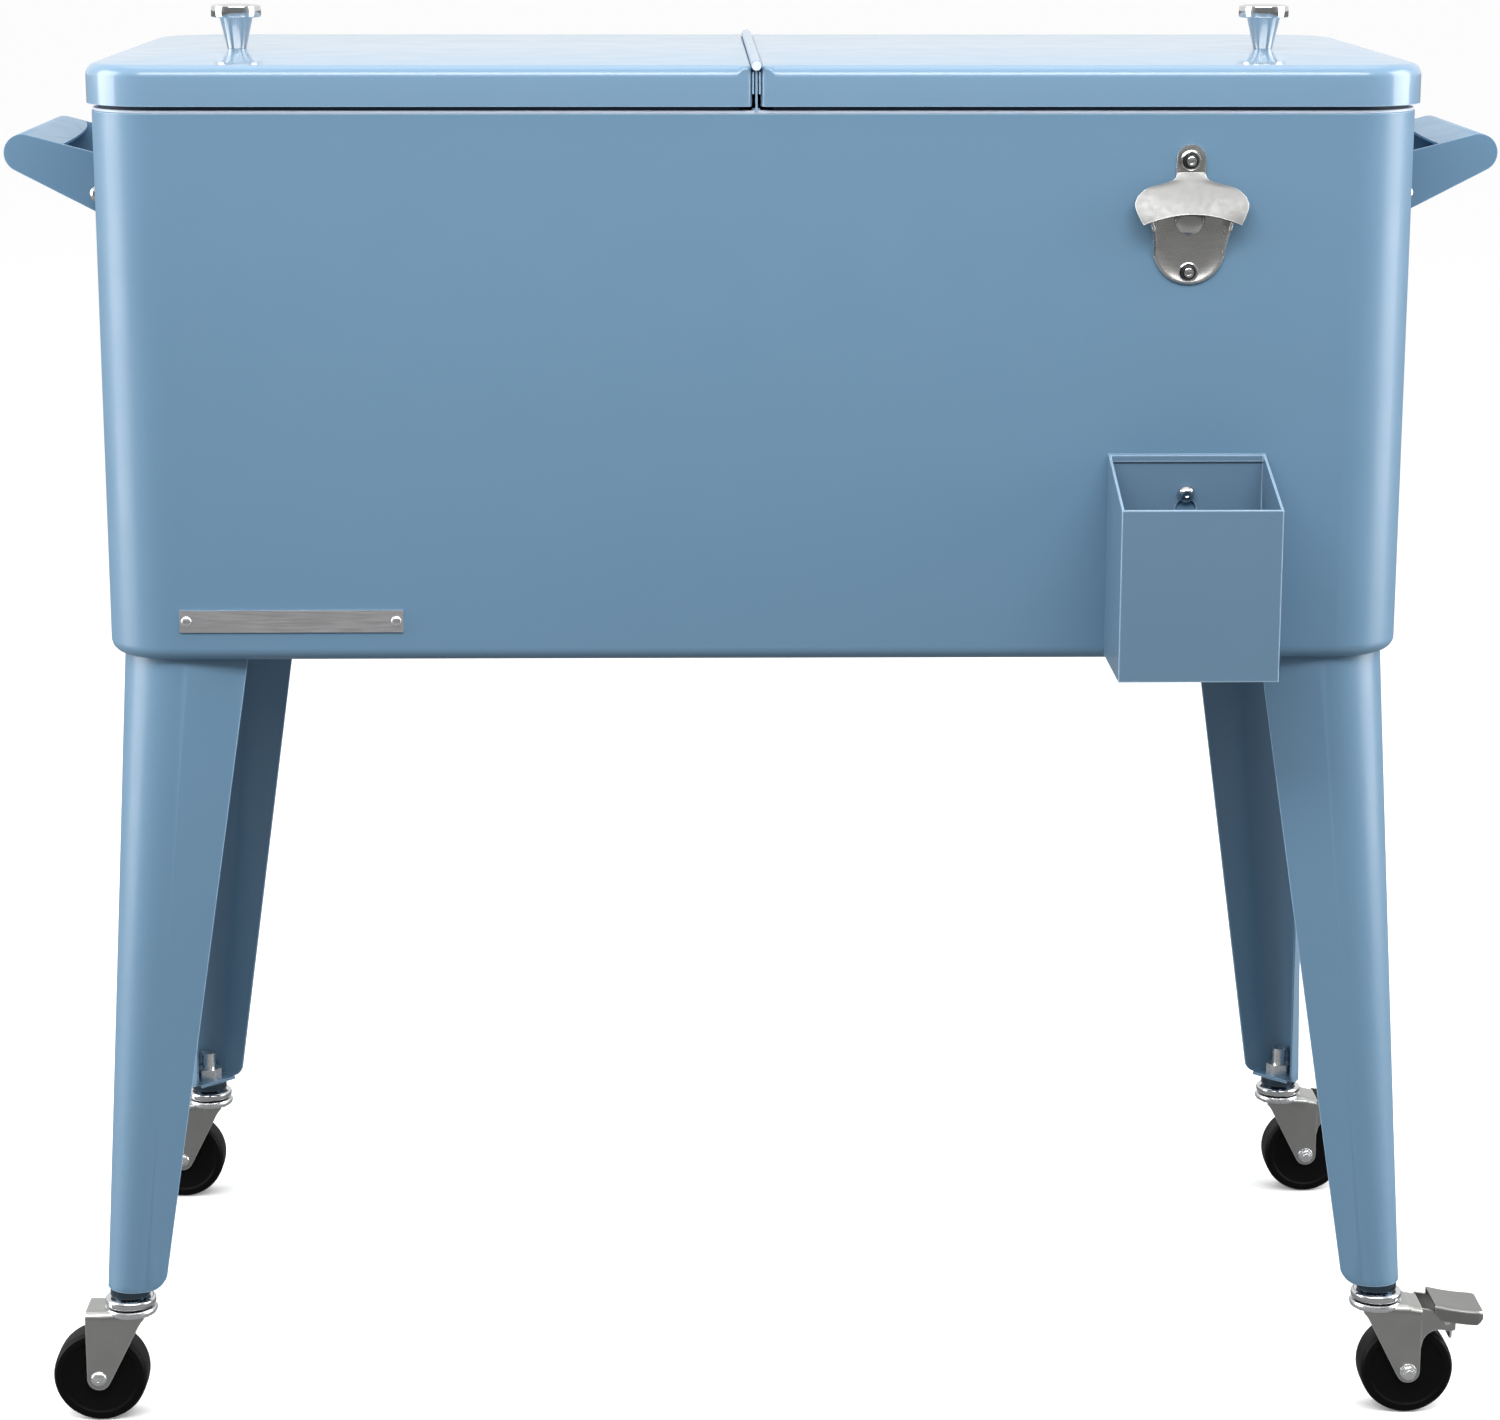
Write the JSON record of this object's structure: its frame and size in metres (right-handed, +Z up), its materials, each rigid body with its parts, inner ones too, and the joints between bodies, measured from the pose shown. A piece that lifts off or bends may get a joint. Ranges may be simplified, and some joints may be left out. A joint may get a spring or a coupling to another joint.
{
  "type": "rolling drinks cooler chest",
  "caption": "Insulated steel drinks chest on tapered legs and swivel casters, with split lids on a centre hinge, side handles, wall bottle opener and lift-off cap box.",
  "frame": {"origin": "on the ground, under the centre of the whole outline at rest, which is 23.4 mm in front of the chest's own centre line", "axes": "+X to the right seen from the front, +Y to the back, +Z up; the bottle opener and cap box are on the -Y front"},
  "size_m": [0.9464, 0.4978, 0.89],
  "materials": {
    "body_paint": "gloss powder coat",
    "lid_paint": "gloss powder coat",
    "liner_plastic": "satin moulded",
    "foam": "rigid foam",
    "seal_rubber": "matt",
    "chrome": "polished",
    "zinc_steel": "zinc plated",
    "fork_steel": "zinc plated, pressed",
    "dark_collar": "dark plated",
    "stainless": "satin stainless",
    "plate_metal": "brushed",
    "wheel_black": "hard, satin",
    "drain_plastic": "moulded"
  },
  "bodies": {
    "chest": {"outer_shell": "body_paint", "leg_front_left": "body_paint", "leg_front_right": "body_paint", "leg_rear_left": "body_paint", "leg_rear_right": "body_paint", "handle_left": "body_paint", "handle_right": "body_paint", "hinge_web": "lid_paint", "liner": "liner_plastic", "centre_bar": "liner_plastic", "insulation": "foam", "drain_seal": "seal_rubber", "handle_bolts": "chrome", "cap_box_screw": "chrome", "opener_screws": "chrome", "upper_raceways": "chrome", "hinge_pin": "zinc_steel", "leg_screws": "zinc_steel", "caster_stems": "zinc_steel", "stem_nuts": "zinc_steel", "name_plate_rivets": "zinc_steel", "stem_collars": "dark_collar", "bottle_opener": "stainless", "name_plate": "plate_metal", "drain_spout": "drain_plastic", "drain_nut": "drain_plastic"},
    "lid_left": {"lid_skin_left": "lid_paint", "lid_foam_left": "foam", "lid_pan_left": "liner_plastic", "lid_seal_left": "seal_rubber", "lid_knob_left": "chrome", "knob_screw_left": "zinc_steel", "hinge_leaf_left": "lid_paint", "leaf_rivets_left": "zinc_steel"},
    "lid_right": {"lid_skin_right": "lid_paint", "lid_foam_right": "foam", "lid_pan_right": "liner_plastic", "lid_seal_right": "seal_rubber", "lid_knob_right": "chrome", "knob_screw_right": "zinc_steel", "hinge_leaf_right": "lid_paint", "leaf_rivets_right": "zinc_steel"},
    "caster_front_left": {"fork_front_left": "fork_steel", "axle_front_left": "zinc_steel"},
    "rolling_front_left": {"wheel_front_left": "wheel_black"},
    "caster_front_right": {"fork_front_right": "fork_steel", "axle_front_right": "zinc_steel"},
    "rolling_front_right": {"wheel_front_right": "wheel_black"},
    "brake_front_right": {"brake_lever_front_right": "fork_steel"},
    "caster_rear_left": {"fork_rear_left": "fork_steel", "axle_rear_left": "zinc_steel"},
    "rolling_rear_left": {"wheel_rear_left": "wheel_black"},
    "caster_rear_right": {"fork_rear_right": "fork_steel", "axle_rear_right": "zinc_steel"},
    "rolling_rear_right": {"wheel_rear_right": "wheel_black"},
    "brake_rear_right": {"brake_lever_rear_right": "fork_steel"},
    "cap_box": {"cap_box": "body_paint"},
    "drain_cap": {"drain_cap": "drain_plastic"}
  },
  "joints": [
    {"name": "lid_left_hinge", "type": "hinge", "parent": "chest", "child": "lid_left", "pos_m": [0, 0.0234, 0.861], "axis": [0, 1, 0], "range_deg": [0, 82]},
    {"name": "lid_right_hinge", "type": "hinge", "parent": "chest", "child": "lid_right", "pos_m": [0, 0.0234, 0.861], "axis": [0, -1, 0], "range_deg": [0, 82]},
    {"name": "swivel_front_left", "type": "hinge", "parent": "chest", "child": "caster_front_left", "pos_m": [-0.4015, -0.1816, 0.0742], "axis": [0, 0, 1], "continuous": true},
    {"name": "roll_front_left", "type": "hinge", "parent": "caster_front_left", "child": "rolling_front_left", "pos_m": [-0.4215, -0.1816, 0.03], "axis": [0, 1, 0], "continuous": true},
    {"name": "swivel_front_right", "type": "hinge", "parent": "chest", "child": "caster_front_right", "pos_m": [0.4015, -0.1816, 0.0742], "axis": [0, 0, 1], "continuous": true},
    {"name": "roll_front_right", "type": "hinge", "parent": "caster_front_right", "child": "rolling_front_right", "pos_m": [0.4215, -0.1816, 0.03], "axis": [0, 1, 0], "continuous": true},
    {"name": "brake_press_front_right", "type": "hinge", "parent": "caster_front_right", "child": "brake_front_right", "pos_m": [0.4455, -0.1816, 0.064], "axis": [0, 1, 0], "range_deg": [0, 14], "stiffness_Nm_per_rad": 0.6},
    {"name": "swivel_rear_left", "type": "hinge", "parent": "chest", "child": "caster_rear_left", "pos_m": [-0.4015, 0.2284, 0.0742], "axis": [0, 0, 1], "continuous": true},
    {"name": "roll_rear_left", "type": "hinge", "parent": "caster_rear_left", "child": "rolling_rear_left", "pos_m": [-0.4215, 0.2284, 0.03], "axis": [0, 1, 0], "continuous": true},
    {"name": "swivel_rear_right", "type": "hinge", "parent": "chest", "child": "caster_rear_right", "pos_m": [0.4015, 0.2284, 0.0742], "axis": [0, 0, 1], "continuous": true},
    {"name": "roll_rear_right", "type": "hinge", "parent": "caster_rear_right", "child": "rolling_rear_right", "pos_m": [0.4215, 0.2284, 0.03], "axis": [0, 1, 0], "continuous": true},
    {"name": "brake_press_rear_right", "type": "hinge", "parent": "caster_rear_right", "child": "brake_rear_right", "pos_m": [0.4455, 0.2284, 0.064], "axis": [0, 1, 0], "range_deg": [0, 14], "stiffness_Nm_per_rad": 0.6},
    {"name": "cap_box_lift", "type": "slide", "parent": "chest", "child": "cap_box", "axis": [0, 0, 1], "range_m": [0, 0.0095]},
    {"name": "drain_cap_turn", "type": "hinge", "parent": "chest", "child": "drain_cap", "pos_m": [0.3, 0.2284, 0.552], "axis": [0, 1, 0], "range_deg": [0, 720]}
  ]
}
